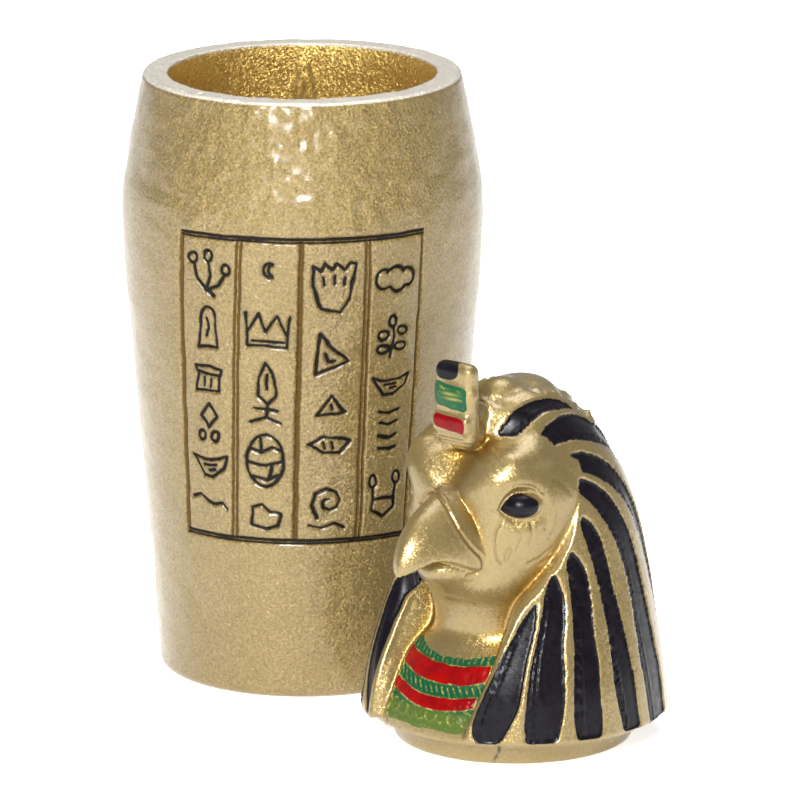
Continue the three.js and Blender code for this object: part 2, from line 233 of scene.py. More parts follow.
def blend_max(a, b, k):
    return -blend_min(-a, -b, k)


def blend_cells(table, cell, t):
    """The table's values blended between the eight cells from this one on, t of the way across."""
    total = 0
    for corner in np.ndindex(2, 2, 2):
        weight = np.prod(np.where(np.array(corner) == 1, t, 1 - t), axis=-1)
        at = (cell + corner) % table.shape
        total = total + weight * table[at[..., 0], at[..., 1], at[..., 2]]
    return total


def noise(p, size, seed):
    """Smooth random values from -1 to 1 over points p, in lumps of the given size."""
    table = np.random.default_rng(seed).uniform(-1, 1, (32, 32, 32))
    cell = np.floor(p / size).astype(int)
    return blend_cells(table, cell, smooth(p / size - cell))


def ripple(x, length):
    return np.cos(2 * math.pi * x / length)


def path_reach(path, *place):
    """Distance from a path of straight pieces, over places given as one array for each axis."""
    best = np.inf
    for a, b in zip(np.array(path[:-1], float), np.array(path[1:], float)):
        along = b - a
        t = sum((v - c) * d for v, c, d in zip(place, a, along)) / max(along @ along, 1e-12)
        gaps = (v - c - np.clip(t, 0, 1) * d for v, c, d in zip(place, a, along))
        best = np.minimum(best, np.sqrt(sum(gap ** 2 for gap in gaps)))
    return best


def rounded_path(path, steps=6):
    """The path with each straight piece divided and bent smoothly through its points."""
    rows = [(i, *p) for i, p in enumerate(path)]
    at = np.linspace(0, len(path) - 1, (len(path) - 1) * steps + 1)
    return np.stack([curve_at(at, rows, k + 1) for k in range(len(path[0]))], axis=-1)


def grid_quads(rows, columns, closed):
    """The faces of a grid of points kept row by row. closed joins its last column to its first."""
    i, j = np.meshgrid(np.arange(rows - 1), np.arange(columns if closed else columns - 1), indexing="ij")
    start, right = i * columns, (j + 1) % columns
    corners = [start + j, start + right, start + columns + right, start + columns + j]
    return np.stack(corners, axis=-1).reshape(-1, 4)


def new_mesh(name, points, quads):
    mesh = bpy.data.meshes.new(name)
    mesh.vertices.add(len(points))
    mesh.vertices.foreach_set("co", points.astype(np.float32).ravel())
    mesh.loops.add(quads.size)
    mesh.loops.foreach_set("vertex_index", quads.astype(np.int32).ravel())
    mesh.polygons.add(len(quads))
    mesh.polygons.foreach_set("loop_start", np.arange(0, quads.size, 4, dtype=np.int32))
    mesh.update(calc_edges=True)
    mesh.validate()
    return mesh


def refine(mesh, chosen):
    """Divide the edges whose two ends are both chosen, so that fine lines have points to follow."""
    bm = bmesh.new()
    bm.from_mesh(mesh)
    edges = [e for e in bm.edges if chosen[e.verts[0].index] and chosen[e.verts[1].index]]
    bmesh.ops.subdivide_edges(bm, edges=edges, cuts=1, use_grid_fill=True)
    bm.to_mesh(mesh)
    bm.free()
    mesh.update()


def read_points(mesh):
    points = np.empty(len(mesh.vertices) * 3, np.float32)
    normals = np.empty(len(mesh.vertices) * 3, np.float32)
    mesh.vertices.foreach_get("co", points)
    mesh.vertex_normals.foreach_get("vector", normals)
    return points.reshape(-1, 3).astype(float), normals.reshape(-1, 3).astype(float)


def casting(mesh, points, values, slot, material, *nodes):
    """Make the object that stands for CAD nodes, at points in millimetres, with values as attributes."""
    mesh.vertices.foreach_set("co", (points * MM).astype(np.float32).ravel())
    mesh.update()
    mesh.shade_smooth()
    for key, data in values.items():
        layer = mesh.attributes.new(key, "FLOAT", "POINT")
        layer.data.foreach_set("value", data.astype(np.float32))
    piece = bpy.data.objects.new(mesh.name, mesh)
    bpy.context.scene.collection.objects.link(piece)
    mesh.materials.append(material)
    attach(piece, "root")
    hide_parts(*nodes)


# ---- the jar ----

def jar_outline():
    """Rows of height and radius up the outside, along the same curve as the CAD jar."""
    knots = np.array(JAR["outline"], float)
    padded = np.vstack([knots[0], knots, knots[-1]])
    rows = []
    for a, b, c, d in zip(padded, padded[1:], padded[2:], padded[3:]):
        for t in np.linspace(0, 1, 12, endpoint=False):
            s, e = (c - a) / 2, (d - b) / 2
            p = (2 * b - 2 * c + s + e) * t ** 3 + (3 * c - 3 * b - 2 * s - e) * t ** 2 + s * t + b
            rows.append((p[1], p[0]))
    return np.array(rows + [(knots[-1][1], knots[-1][0])])


OUTLINE = jar_outline()


def jar_radius(z):
    return np.interp(z, OUTLINE[:, 0], OUTLINE[:, 1])


def line_azimuth(line, z):
    top, foot = line
    return foot + (top - foot) * (z - PANEL["bottom"]) / (PANEL["top"] - PANEL["bottom"])


def pen(*hundredths):
    """A stroke through points, given as pairs of hundredths."""
    return [(x / 100, y / 100) for x, y in zip(hundredths[::2], hundredths[1::2])]


def loop(*hundredths):
    return pen(*hundredths, *hundredths[:2])


def arc(x, y, rx, ry, start=0, end=360, steps=16):
    """An arc of an ellipse as a stroke, placed and sized in hundredths."""
    angles = np.linspace(start, end, steps) * DEG
    return [((x + rx * math.cos(a)) / 100, (y + ry * math.sin(a)) / 100) for a in angles]


# the strokes of each kind of mark, in a box from -1 to 1; they are ornament and spell nothing
MARK_KINDS = {
    "sprig": [
        arc(-80, 55, 20, 24), arc(-5, 72, 19, 24), arc(80, 20, 20, 22), pen(-75, 30, -50, -35, -10, -70),
        pen(-2, 46, 10, -10, -10, -75), pen(75, -2, 50, -50, 0, -75, 30, -98),
    ],
    "arch": [
        pen(-85, -95, -60, 10) + arc(0, 30, 62, 68, 190, -10) + pen(75, -90, -85, -95),
        pen(-15, 40, 10, 0, -10, -40),
    ],
    "gate": [
        loop(-95, 85, 10, 95, 95, 75, 85, 30, -85, 40), pen(-75, 30, -85, -95, 80, -85, 75, 20),
        pen(-25, 0, -30, -60), pen(25, 0, 20, -60),
    ],
    "diamond": [loop(5, 95, 60, 35, 0, -25, -55, 30), arc(-45, -70, 24, 24), arc(45, -68, 24, 24)],
    "bowl": [
        loop(-95, 70, -20, 45, 50, 55, 100, 85, 80, -10, 20, -80, -30, -75), pen(-30, 5, 35, 10),
        pen(0, -30, 30, -25),
    ],
    "wave": [pen(-100, 30, -60, 70, -10, 10, 35, -40, 70, -10, 100, -90)],
    "crescent": [arc(10, 0, 80, 90, 60, 290), arc(50, 5, 60, 70, 100, 260)],
    "peaks": [
        pen(-100, 95, -90, -90, 95, -100, 100, 70), pen(-95, -20, -45, 85, -5, -10, 40, 75, 95, -30),
        pen(-70, -65, 80, -70),
    ],
    "plume": [
        loop(-5, 100, 55, 45, 60, -10, 10, -35, -50, -10, -45, 50), pen(5, 60, 5, 10),
        pen(10, -35, 5, -80), pen(-70, -50, 75, -55), pen(-90, -95, 0, -80, 90, -98),
    ],
    "shield": [
        arc(0, 0, 90, 98, 0, 360, 22), pen(-75, 45, -20, 30, 30, 50, 78, 40), pen(-85, -5, 0, -20, 85, 0),
        pen(-60, -60, 10, -70, 60, -55), pen(-25, 85, -20, 35), pen(30, -15, 25, -65),
    ],
    "pebble": [loop(-80, 60, -10, 95, 40, 35, 95, 10, 80, -70, 10, -95, -75, -70)],
    "basket": [
        pen(-95, 85, -90, 10, -55, -85, 30, -100, 65, -50, 80, 20, 100, 95),
        pen(-95, 85, -60, 65, -45, 95, -10, 70, 10, 98, 45, 70, 70, 98, 100, 95), pen(-50, 40, -45, 10),
        pen(0, 45, 0, 15), pen(50, 40, 45, 10),
    ],
    "wedge": [loop(-90, -95, -75, 95, 95, -40), pen(-35, 5, -20, -35, 15, -35)],
    "tent": [loop(-95, -90, 10, 95, 95, -75), pen(5, 10, 10, -35)],
    "lens": [
        loop(-100, 10, -30, 85, 40, 70, 100, 30, 50, -80, -30, -75), pen(-30, 30, -20, -35),
        pen(10, 35, 20, -35),
    ],
    "scroll": [
        [(k * math.cos(k * 0.8) * 0.9 / 13, 0.15 + k * math.sin(k * 0.8) * 0.8 / 13) for k in range(2, 14)],
        pen(-85, -80, -30, -95, 30, -80, 85, -95),
    ],
    "cloud": [
        arc(-55, 10, 42, 70, 60, 300, 10) + arc(10, -35, 40, 50, 200, 340, 8)
        + arc(60, 10, 38, 65, 290, 470, 10) + arc(0, 40, 42, 50, 20, 160, 8),
    ],
    "branch": [
        pen(-10, -98, 5, -10, -5, 45), arc(-5, 70, 22, 28), arc(-60, 10, 32, 20), arc(60, 25, 32, 20),
        arc(50, -50, 34, 18), arc(-55, -55, 34, 20),
    ],
    "bars": [
        pen(-80, 90, 10, 75, 85, 85), pen(-75, 30, 0, 20, 80, 35), pen(-85, -30, 10, -45, 75, -30),
        pen(-70, -90, 10, -98, 85, -85),
    ],
    "yoke": [
        pen(-75, 35, -70, -60, 0, -95, 60, -60, 65, 40), arc(-75, 65, 22, 28), arc(68, 70, 24, 28),
        pen(-70, -20, 60, -15),
    ],
}


def mark_distance(azimuth, z, points):
    """Distance in millimetres from the nearest stroke of the panel's marks."""
    best = np.full(len(z), FAR)
    sway = 0.22 * noise(points, 1.8, 5)
    for column, marks in enumerate(MARKS):
        middle = (line_azimuth(PANEL["lines"][column], z) + line_azimuth(PANEL["lines"][column + 1], z)) / 2
        x = (azimuth - middle) * DEG * jar_radius(z) + sway
        for centre, width, height, kind in marks:
            here = (np.abs(x) < width / 2 + 1) & (np.abs(z - centre) < height / 2 + 1)
            p = x[here], z[here] - centre + sway[here]
            for stroke in MARK_KINDS[kind]:
                path = np.array(stroke) * (width / 2, height / 2)
                best[here] = np.minimum(best[here], path_reach(path, *p))
    return best


def panel_lines(azimuth, z, points):
    """Depth from 0 to 1 of the panel's upright lines and of its two level lines."""
    radius = jar_radius(z)
    edges = [line_azimuth(line, z) for line in PANEL["lines"]]
    sway = 0.1 * noise(points, 3, 7)
    uprights = np.zeros(len(z))
    beyond = np.maximum(z - PANEL["top"], PANEL["bottom"] - z)
    within = smooth(1 - beyond / 0.4)
    for edge, double, half in zip(edges, PANEL["double"], PANEL["half_width"]):
        across = (azimuth - edge) * DEG * radius + sway
        if double:
            across = np.abs(across) - 0.34
        uprights = np.maximum(uprights, bell(across / half) * within)
    between = smooth((azimuth - edges[0] + 1) / 0.5) * smooth((edges[-1] + 1 - azimuth) / 0.5)
    levels = np.zeros(len(z))
    for height in (PANEL["bottom"], PANEL["top"]):
        across = z - height + sway
        groove = np.maximum(bell((across - 0.2) / 0.26), 0.9 * bell((across + 0.3) / 0.2))
        levels = np.maximum(levels, groove * between)
    return uprights, levels


def jar_columns():
    """Azimuths of the mesh's uprights, closer together across the panel and the flaw inside the back."""
    panel = np.arange(-49, 46, 0.46)
    flaw = np.arange(174, 186, 0.5)
    return np.concatenate([panel, np.arange(46, 174, 3.6), flaw, np.arange(186, 310, 3.6)])


def jar_profile():
    """Rows of radius, height and side (0 outside, 1 rim, 2 inside, 3 under), from the foot to the floor."""
    radius, foot = JAR["outline"][0]
    rows = [(r, 0.0, 3) for r in np.linspace(0.05, 20.9, 6)]
    turns = np.linspace(0.1, 1.4, 5)
    rows += [(radius - foot * (1 - math.sin(a)), foot * (1 - math.cos(a)), 3) for a in turns]
    edge, lip, bend, top, floor = (JAR[key] for key in ("edge", "lip", "bend", "height", "floor"))
    mouth = JAR["mouth_radius"]
    # rows lie close together over the panel
    low, high = PANEL["bottom"] - 1, PANEL["top"] + 1.1
    heights = np.concatenate([
        np.linspace(1.6, low, 34, endpoint=False),
        np.arange(low, high, 0.235),
        np.linspace(high, top - edge, 40),
    ])
    rows += [(float(jar_radius(z)), z, 0) for z in heights]
    outer = float(jar_radius(top))
    rows += [(outer - edge * (1 - math.cos(a)), top - edge * (1 - math.sin(a)), 1) for a in (0.4, 0.9, 1.4)]
    rows += [(r, top, 1) for r in np.linspace(outer - edge, mouth + lip, 6)]
    rows += [(mouth + lip * (1 - math.sin(a)), top - lip * (1 - math.cos(a)), 1) for a in (0.5, 1.1)]
    for z in np.linspace(top - 2 * lip, floor + 3, 40):
        # the mouth is a little narrower than the belly behind it
        narrow = smooth((z - (top - 7)) / 7)
        inner = jar_radius(z) - JAR["wall"]
        rows.append((float(inner + (mouth - inner) * narrow), z, 2))
    inner = float(jar_radius(floor)) - JAR["wall"]
    rows += [(inner - bend * (1 - math.cos(a)), floor + bend * (1 - math.sin(a)), 2) for a in (0.5, 1.0, 1.5)]
    rows += [(r, floor, 2) for r in np.linspace(inner - 3, 0.05, 7)]
    return np.array(rows)


def panel_ink(azimuth, z, points, outside):
    """Distance into the nearest stroke of the marks, positive inside it."""
    ink = np.full(len(z), -FAR)
    front = outside & (np.abs(azimuth) < 50)
    width = STROKE + 0.08 * noise(points[front], 2.2, 8)
    ink[front] = width - mark_distance(azimuth[front], z[front], points[front])
    return ink


def jar_unevenness(points, azimuth, z, side):
    """How the casting swells and dips: hammered high on the front, sandy lower down, chipped at the rim."""
    rim = side == 1
    high = smooth((z - 66) / 14) * (0.3 + 0.7 * bell(azimuth / 55))
    swell = 0.12 * noise(points, 9, 1) + 0.05 * noise(points, 3.2, 2)
    dents = 0.15 * noise(points * (1, 1, 0.75), 1.9, 3) + 0.08 * noise(points, 1.0, 9)
    uneven = swell + dents * (0.45 + 0.8 * high)
    chips = smooth((noise(points, 1.4, 6) - 0.5) / 0.3) * rim
    return np.where(side < 3, uneven, 0) - 0.3 * chips - rim * 0.5 * uneven


def make_jar(material):
    columns, rows = jar_columns(), jar_profile()
    azimuth = np.tile(columns, len(rows))
    azimuth = np.where(azimuth > 180, azimuth - 360, azimuth)
    radius, z, side = (np.repeat(rows[:, k], len(columns)) for k in range(3))
    angle = azimuth * DEG
    points = np.stack([radius * np.sin(angle), -radius * np.cos(angle), z], axis=-1)
    mesh = new_mesh("jar_casting", points, grid_quads(len(rows), len(columns), closed=True))
    _, normals = read_points(mesh)

    outside, rim, inside = side == 0, side == 1, side == 2
    uprights, levels = np.array(panel_lines(azimuth, z, points)) * outside
    ink = panel_ink(azimuth, z, points, outside)
    crease = path_reach(CREASE, angle * radius, z)
    flaw = path_reach(FLAW, radius * (angle - math.pi * np.sign(angle)), z)
    push = jar_unevenness(points, azimuth, z, side)
    push -= GROOVE * np.maximum(uprights, levels)
    # each stroke is cut in, between low lips
    push -= outside * (INCISION * smooth((ink + 0.15) / 0.35) - 0.07 * bell((ink + 0.35) / 0.22))
    push -= outside * 0.16 * bell(crease / 0.3)
    push += inside * bell(flaw / 0.5)
    points = points + normals * push[:, None]
    points[side == 3, 2] = np.maximum(points[side == 3, 2], 0)
    values = {
        "ink": ink, "uprights": uprights, "levels": levels, "inner": inside * 1.0, "rim": rim * 1.0,
        "tent": bell((flaw - 0.7) / 0.35) * inside,
    }
    casting(mesh, points, values, "jar_gold", material, "jar_body")


# ---- the lid ----
# Lid coordinates: side is to the falcon's left, fore is towards its beak, z is up from the table.

def tower(rows, side, fore, z, hollow=0):
    """Distance from a stack of squared-off rings."""
    middle, wide, ahead, behind, power = (curve_at(z, rows, k) for k in range(1, 6))
    y = fore - middle
    reach = np.where(y > 0, ahead, behind)
    r = np.sqrt(side ** 2 + y ** 2) + 1e-6
    lean = ((np.abs(side) / wide) ** power + (np.abs(y) / reach) ** power) ** (1 / power) + 1e-6
    return np.maximum(np.maximum(r - (r / lean - hollow * (y > 0)), z - rows[-1][0]), rows[0][0] - z)


def dome_distance(side, fore, z):
    radius, back = curve_at(z, DOME, 1), curve_at(z, DOME, 2)
    slope = (curve_at(z + 0.2, DOME, 1) - curve_at(z - 0.2, DOME, 1)) / 0.4
    around = np.sqrt(side ** 2 + (fore + back) ** 2) - radius
    return np.maximum(around / np.sqrt(1 + slope ** 2), z - DOME[-1][0])


def opening_distance(side, fore, z):
    """Distance from the headdress' open front, negative inside it."""
    low, limit, high = (
        np.where(side > 0, curve_at(z + step, OPENING, 1), curve_at(z + step, OPENING, 2))
        for step in (-0.2, 0, 0.2)
    )
    slope = (high - low) / 0.4 * DEG
    r = np.sqrt(side ** 2 + fore ** 2)
    azimuth = np.abs(np.arctan2(side, fore)) / DEG
    return np.maximum((azimuth - limit) * DEG * r / np.sqrt(1 + (slope * r) ** 2), z - OPENING[-1][0])


def rounded_box(side, fore, z, centre, half, corner):
    q = [np.abs(v - c) - h + corner for v, c, h in zip((side, fore, z), centre, half)]
    outside = np.sqrt(sum(np.maximum(v, 0) ** 2 for v in q))
    return outside + np.minimum(np.maximum(np.maximum(q[0], q[1]), q[2]), 0) - corner


def ellipsoid(side, fore, z, centre, radii):
    q = [(v - c) / r for v, c, r in zip((side, fore, z), centre, radii)]
    return (np.sqrt(sum(v * v for v in q)) - 1) * min(radii)


def cloth_distance(side, fore, z):
    """The headdress: a dome, open in front, with its front edges rounded in."""
    corner = 1.6 + 1.2 * smooth((26 - z) / 4) * smooth(-side / 4)
    shell = blend_max(dome_distance(side, fore, z), -opening_distance(side, fore, z), corner)
    return blend_max(shell, HEM["z"] - z, 0.5)


def eye_side(side, fore):
    """Side and fore for the left eye. The right eye lies a little further in and back, as it was cast."""
    right = side < 0
    return np.abs(side) + 0.9 * right, fore + 1.6 * right


def head_distance(side, fore, z):
    valley = curve_at(z, VALLEY, 1) * bell(side / curve_at(z, VALLEY, 2))
    neck = blend_min(tower(CHEST, side, fore, z), tower(HEAD, side, fore, z, valley), 1.0)
    across, ahead = eye_side(side, fore)
    socket = ellipsoid(across, ahead, z, (13.2, 13.6, 40.4), (4.0, 4.0, 3.2))
    neck = blend_max(neck, -socket, 2.0)
    brow = path_reach(BROW, np.abs(side), fore, z) - BROW_RADIUS
    neck = blend_min(neck, brow, 1.4)
    ball = ellipsoid(across, ahead, z, (10.1, 10.7, 40.3), (3.3, 3.3, 2.3))
    neck = blend_min(neck, ball, 0.4)
    mouth = curve_at(fore, MOUTH, 1)
    beak = blend_max(tower(BEAK, side, fore, z), mouth - z, 0.5)
    return blend_min(blend_min(neck, tower(BILL, side, fore, z), 1.6), beak, 0.35)


def cobra_distance(side, fore, z):
    hood = rounded_box(side, fore, z, (-0.15, 13.6, 54.9), (3.7, 1.5, 6.4), 1.4)
    brim = rounded_box(side, fore, z, (-0.15, 14.1, 51.9), (3.5, 1.6, 1.4), 0.7)
    swell = ellipsoid(side, fore, z, (-0.1, 13.9, 56.4), (4.1, 1.8, 2.6))
    folds = rounded_box(side, fore, z, (0, 12.5, 49.9), (2.9, 2.1, 1.2), 0.8)
    back = rounded_box(side, fore, z, (0, 11, 51), (2.2, 2.6, 3.6), 1.4)
    hood = blend_min(blend_min(hood, brim, 0.4), swell, 0.4)
    return blend_min(blend_min(hood, folds, 0.5), back, 0.8)


def lid_distance(side, fore, z):
    plug = np.maximum(np.sqrt(side ** 2 + fore ** 2) - PLUG["radius"], z - PLUG["height"])
    plug = blend_max(plug, -z, 0.8)
    crown = blend_min(
        ellipsoid(side, fore, z, (0.4, 3.6, 54.6), (3.2, 3.4, 2.6)),
        ellipsoid(side, fore, z, (0, -1.5, 53.6), (5.2, 5.5, 2.9)), 0.8,
    )
    fillet = 0.5 + 2.4 * smooth((z - 42) / 5)
    shape = blend_min(cloth_distance(side, fore, z), head_distance(side, fore, z), fillet)
    shape = blend_min(shape, crown, 0.8)
    shape = blend_min(shape, cobra_distance(side, fore, z), 0.5)
    return blend_min(shape, plug, 0.3)


def box_blur(volume, reach, rounds=2):
    """The volume averaged over reach cells each way."""
    for _ in range(rounds):
        for axis, size in enumerate(volume.shape):
            pad = [(reach + 1, reach) if k == axis else (0, 0) for k in range(3)]
            total = np.cumsum(np.pad(volume, pad, "edge"), axis)
            upper = np.take(total, range(2 * reach + 1, 2 * reach + 1 + size), axis)
            volume = (upper - np.take(total, range(size), axis)) / (2 * reach + 1)
    return volume


def read_volume(volume, index):
    """The volume at fractional indices."""
    cell = np.clip(np.floor(index).astype(int), 0, np.array(volume.shape) - 2)
    return blend_cells(volume, cell, np.clip(index - cell, 0, 1))


def lid_volume():
    low, high = np.array([-25.5, -26, -1.2]), np.array([25.5, 30.5, 63.5])
    axes = [np.arange(a, b, VOXEL) for a, b in zip(low, high)]
    side, fore, z = (axes[k].reshape([-1 if i == k else 1 for i in range(3)]) for k in range(3))
    return low, lid_distance(side, fore, z)


def on_dome(p):
    """Where rays from the heart of the dome through points p leave the dome."""
    heart = np.array([0, 0, 20.0])
    ray = p - heart
    ray = ray / np.linalg.norm(ray, axis=-1)[..., None]
    low, high = np.zeros(p.shape[:-1]), np.full(p.shape[:-1], 60.0)
    for _ in range(22):
        t = (low + high) / 2
        q = heart + ray * t[..., None]
        inside = dome_distance(q[..., 0], q[..., 1], q[..., 2]) < 0
        low, high = np.where(inside, t, low), np.where(inside, high, t)
    return heart + ray * low[..., None]


def cloth_grid(across=129, along=61):
    """Points over the left half of the cloth: t across the stripes, and v from the face to the hem."""
    t, v = np.linspace(0, 1, across), np.linspace(0, 1, along)
    rows = [(k / (len(FACE_EDGE) - 1), *p) for k, p in enumerate(FACE_EDGE)]
    start = np.stack([curve_at(t, rows, k) for k in (1, 2, 3)], axis=-1)
    azimuth = (HEM["from"] + (180 - HEM["from"]) * t) * DEG
    end = np.stack([HEM["radius"] * np.sin(azimuth), HEM["radius"] * np.cos(azimuth), 0 * t + HEM["z"]], -1)
    high = np.clip((t - 0.38) / 0.56, 0, 1)
    knee = (start + end) / 2 + np.stack([1.2 * high * (1 - t), -11 * high ** 2, 33 * high ** 1.2], axis=-1)
    knee[-1, 0] = 0
    w = v[None, :, None]
    return on_dome(start[:, None] * (1 - w) ** 2 + knee[:, None] * 2 * w * (1 - w) + end[:, None] * w ** 2)


def cloth_place(points):
    """For each point its t and v on the cloth, the cloth's width there for t from 0 to 1, and how far it is
    from the face and from the hem along the stripe."""
    grid = cloth_grid()
    n, m = grid.shape[:2]
    width = np.linalg.norm(np.gradient(grid, axis=0), axis=-1) * (n - 1)
    length = np.linalg.norm(np.diff(grid, axis=1), axis=-1)
    run = np.concatenate([np.zeros((n, 1)), np.cumsum(length, axis=1)], axis=1)
    quads = grid_quads(n, m, closed=False)
    tree = BVHTree.FromPolygons(grid.reshape(-1, 3).tolist(), quads.tolist())
    found = [tree.find_nearest(Vector((abs(p[0]), p[1], p[2]))) for p in points]
    hit = np.array([f[0] for f in found])
    face = np.array([f[2] for f in found])
    a, b, d = (grid.reshape(-1, 3)[quads[face, k]] for k in (0, 1, 3))
    along = np.clip(np.sum((hit - a) * (b - a), 1) / np.maximum(np.sum((b - a) ** 2, 1), 1e-9), 0, 1)
    over = np.clip(np.sum((hit - a) * (d - a), 1) / np.maximum(np.sum((d - a) ** 2, 1), 1e-9), 0, 1)
    row, column = face // (m - 1), face % (m - 1)
    done = run[row, column] + along * length[row, column]
    t = (row + over) / (n - 1)
    # past the lappet's front edge t goes on below 0
    mirrored = np.c_[np.abs(points[:, 0]), points[:, 1:]]
    edge = np.linalg.norm((mirrored - hit), axis=1) * (t < 0.004)
    t = t - edge / width[row, column]
    return t, (column + along) / (m - 1), width[row, column], done, run[row, -1] - done


def right_paint(points):
    """How far points are behind the line where the right lappet's paint ends."""
    side, fore, z = points.T
    return math.sin(-LID_TURN) * fore - math.cos(LID_TURN) * side - curve_at(z, RIGHT_PAINT, 1)


def stripe_values(points):
    """Distance into the nearest painted stripe, how far across it from 0 to 1, and each point's t and v."""
    t, v, width, done, left = cloth_place(points)
    wander = 0.16 * noise(points, 2.6, 21) + 0.07 * noise(points, 0.9, 22)
    best, across = np.full(len(t), -FAR), np.zeros(len(t))
    side = points[:, 0]
    # the paint stops at the left lappet's front edge, and on the right lappet it wraps round it a little
    edge = np.where(side > 0, opening_distance(*points.T) - 0.45, right_paint(points))
    for index, (start, lows, highs) in enumerate(STRIPES):
        low = curve_at(v, list(zip(STRIPE_STEPS, lows)), 1)
        if index == 0:
            low = low - (side < 0)
        high = curve_at(v, list(zip(STRIPE_STEPS, highs)), 1)
        sides = np.minimum(t - low, high - t) * width
        ends = np.minimum(np.minimum(done - start * (side > 0), left - 0.15), edge)
        nearest = np.minimum(sides, ends)
        q = np.maximum(STRIPE_CORNER - np.stack([sides, ends]), 0)
        inside = np.where(nearest > STRIPE_CORNER, nearest, STRIPE_CORNER - np.hypot(*q))
        across = np.where(inside > best, (t - low) / np.maximum(high - low, 1e-3), across)
        best = np.maximum(best, inside)
    return best + wander, across, t, v


def band(value, low, high):
    """Distance into the band from low to high. Such distances are positive inside and negative outside."""
    return np.minimum(value - low, high - value)


def collar_values(points, on_chest):
    """Distances into the collar's green and red paint, and the height of its relief."""
    side, _, z = points.T
    ragged = 0.16 * noise(points, 1.1, 31) + 0.08 * noise(points, 0.5, 32)
    bow, off_middle = side ** 2, np.abs(side)
    first = (11.75 + 0.015 * bow, 14.3 + 0.012 * bow)
    second = (8.1 + 0.018 * bow, 9.85 + 0.016 * bow)
    top = 15.3 + 0.022 * bow
    green = np.minimum(band(z, 5.3 + 0.2 * np.sin(side), top), COLLAR_SIDE + 0.3 - off_middle)
    red = np.maximum(
        np.minimum(band(z, *first), COLLAR_SIDE + 0.5 - off_middle),
        np.minimum(band(z, *second), 8.3 - np.abs(side + 0.9)),
    )
    rise = {
        "reds": 0.22 * smooth((red + 0.25) / 0.5),
        "ribs": 0.12 * ripple(side, 0.95) * smooth(band(z, first[1] + 0.15, top + 0.2) / 0.3),
        "leaves": 0.12 * ripple(np.abs((side + 0.8 * z) % 2.2 - 1.1), 1.1)
        * smooth(band(z, second[1] + 0.2, first[0] - 0.2) / 0.3),
        "fine": 0.11 * ripple(side, 0.62) * smooth(band(z, *second) / 0.3) * smooth((side + 3.4) / 1.5),
        "specks": 0.12 * noise(points, 0.55, 33) * smooth(band(z, *first) / 0.3) * smooth((side - 1) / 2),
        "scales": 0.1 * ripple(np.hypot((side + 0.4) % 2 - 1, z - 7.4), 0.9)
        * smooth(band(z, 5.6, second[0] - 0.3) / 0.3),
        "seam": 0.16 * bell((off_middle - COLLAR_SIDE + 0.75) / 0.2),
    }
    off = FAR * (1 - on_chest)
    return green + ragged - off, red + ragged - off, sum(rise.values()) * on_chest


def rounded_patch(across, up, half_width, half_height):
    """Distance into an oblong patch with round corners."""
    q = np.stack([np.abs(across) - half_width, np.abs(up) - half_height]) + 0.9
    return 0.9 - np.hypot(*np.maximum(q, 0)) - np.minimum(q.max(axis=0), 0)


def cobra_values(points, on_cobra):
    """Distances into the black, green and red paint on the cobra's front, and its scratches from 0 to 1."""
    side, fore, z = points.T
    ragged = 0.14 * noise(points, 1.2, 41)
    front = (fore - 13.4) * 2
    black = 1.5 * (1 - np.hypot((side + 1.15) / 2.4, (z - 60.2) / 1.55)) + ragged
    green = rounded_patch(side + 0.35, z - 56.2 + 0.1 * side, 3.2, 1.9)
    red = rounded_patch(side + 0.2, z - 52.1 + 0.12 * side, 3.1, 1.15)
    green, red = np.minimum(green, front), np.minimum(red, front)
    off = FAR * (1 - on_cobra)
    lines = [bell((z - height + 0.06 * side) / 0.09) for height in (56, 56.7, 57.3)]
    scratches = np.max(lines, axis=0) * smooth((2.4 - np.abs(side)) / 0.5)
    return black - off, green + ragged - off, red + ragged - off, scratches * on_cobra


def on_surface(paths, points):
    """The paths moved on to the nearest of the surface points, on both sides of the head."""
    found = []
    for path in paths:
        smooth_path = rounded_path(path)
        found += [smooth_path, smooth_path * (-1, 1, 1)]
    result = []
    for path in found:
        nearest = [points[np.argmin(np.sum((points - p) ** 2, axis=1))] for p in path]
        blended = np.array(nearest) * 0.7
        blended[1:-1] += 0.15 * (np.array(nearest[:-2]) + np.array(nearest[2:]))
        blended[[0, -1]] = np.array(nearest)[[0, -1]]
        result.append(blended)
    return result


def eye_distance(points, outline):
    """Distance into the eye on each side, measured across its middle plane."""
    outline = rounded_path(outline, 3)
    middle = outline.mean(axis=0)
    _, _, axes = np.linalg.svd(outline - middle)
    mirrored = np.c_[*eye_side(points[:, 0], points[:, 1]), points[:, 2]]
    local = (mirrored - middle) @ axes.T
    flat = (outline - middle) @ axes.T
    distance = path_reach(flat[:, :2], local[:, 0], local[:, 1])
    x, y = local[:, 0], local[:, 1]
    crossings = np.zeros(len(points), int)
    for (ax, ay), (bx, by) in zip(flat[:-1, :2], flat[1:, :2]):
        spans = (ay > y) != (by > y)
        crossings += spans & (x < ax + (y - ay) * (bx - ax) / (by - ay if by != ay else 1e-9))
    inside = np.where(crossings % 2 == 1, distance, -distance)
    return np.where(np.abs(local[:, 2]) < 4, inside, -FAR)


